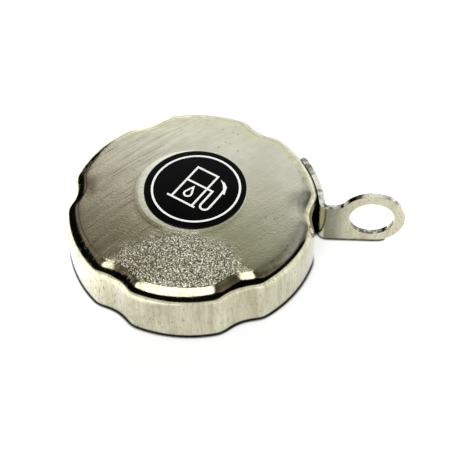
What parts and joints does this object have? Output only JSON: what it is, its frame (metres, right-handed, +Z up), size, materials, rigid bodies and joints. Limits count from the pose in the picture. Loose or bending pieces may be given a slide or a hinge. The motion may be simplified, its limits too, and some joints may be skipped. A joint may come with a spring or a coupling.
{
  "type": "fuel filler cap",
  "caption": "Six-lobed pressed stainless filler cap with a padlock eye, a round badge, a sprung gasket, bayonet claws and a two-way vent valve.",
  "frame": {"origin": "on the cap's axis in the plane of the skirt's lower edge, which is also the claw plate's flat underside", "axes": "+Z up along the cap's turning axis, towards the badge; +X towards the padlock eye"},
  "size_m": [0.1202, 0.09, 0.0254],
  "materials": {
    "shell_steel": "worn brushed stainless, warm grey with fine scratches",
    "inner_steel": "pressed stainless, satin",
    "spring_steel": "drawn spring wire",
    "hub_aluminium": "turned aluminium",
    "brass": "turned brass",
    "sintered_bronze": "porous sintered bronze",
    "rubber": "matt fuel-resistant rubber",
    "badge_black": "gloss black with a white pump pictogram",
    "adhesive_film": "dark adhesive film"
  },
  "bodies": {
    "cap": {"outer_shell": "shell_steel", "badge_adhesive": "adhesive_film", "badge_plate": "badge_black", "eye_strap": "shell_steel", "ceiling_plate": "inner_steel", "hub_body": "hub_aluminium", "claw_plate": "inner_steel", "claw_rivet_1": "inner_steel", "claw_rivet_2": "inner_steel", "claw_rivet_3": "inner_steel", "hub_rivet_1": "inner_steel", "hub_rivet_2": "inner_steel", "hub_rivet_3": "inner_steel", "hub_rivet_4": "inner_steel", "stop_ring": "spring_steel", "spring_seat": "inner_steel", "main_spring": "spring_steel", "valve_cover": "brass", "valve_circlip": "spring_steel", "relief_spring": "spring_steel", "vent_filter": "sintered_bronze"},
    "seal_carrier": {"thrust_washer": "inner_steel"},
    "seal": {"seal_plate": "inner_steel", "gasket": "rubber", "gasket_retainer": "inner_steel", "hub_oring": "rubber", "oring_cup": "inner_steel"},
    "relief_valve": {"relief_disc": "brass", "relief_seal": "rubber", "vacuum_spring": "spring_steel"},
    "vacuum_valve": {"vacuum_poppet": "brass", "vacuum_clip": "spring_steel"}
  },
  "joints": [
    {"name": "seal_travel", "type": "slide", "parent": "cap", "child": "seal_carrier", "axis": [0, 0, 1], "range_m": [0, 0.003], "stiffness_N_per_m": 2500, "springref_m": -0.004, "deforming": ["main_spring"]},
    {"name": "seal_swivel", "type": "hinge", "parent": "seal_carrier", "child": "seal", "pos_m": [0, 0, 0.0077], "axis": [0, 0, 1], "continuous": true},
    {"name": "relief_lift", "type": "slide", "parent": "cap", "child": "relief_valve", "axis": [0, 0, 1], "range_m": [0, 0.002], "stiffness_N_per_m": 600, "springref_m": -0.003, "deforming": ["relief_spring"]},
    {"name": "vacuum_drop", "type": "slide", "parent": "relief_valve", "child": "vacuum_valve", "axis": [0, 0, -1], "range_m": [0, 0.001], "stiffness_N_per_m": 150, "springref_m": -0.002, "deforming": ["vacuum_spring"]}
  ]
}
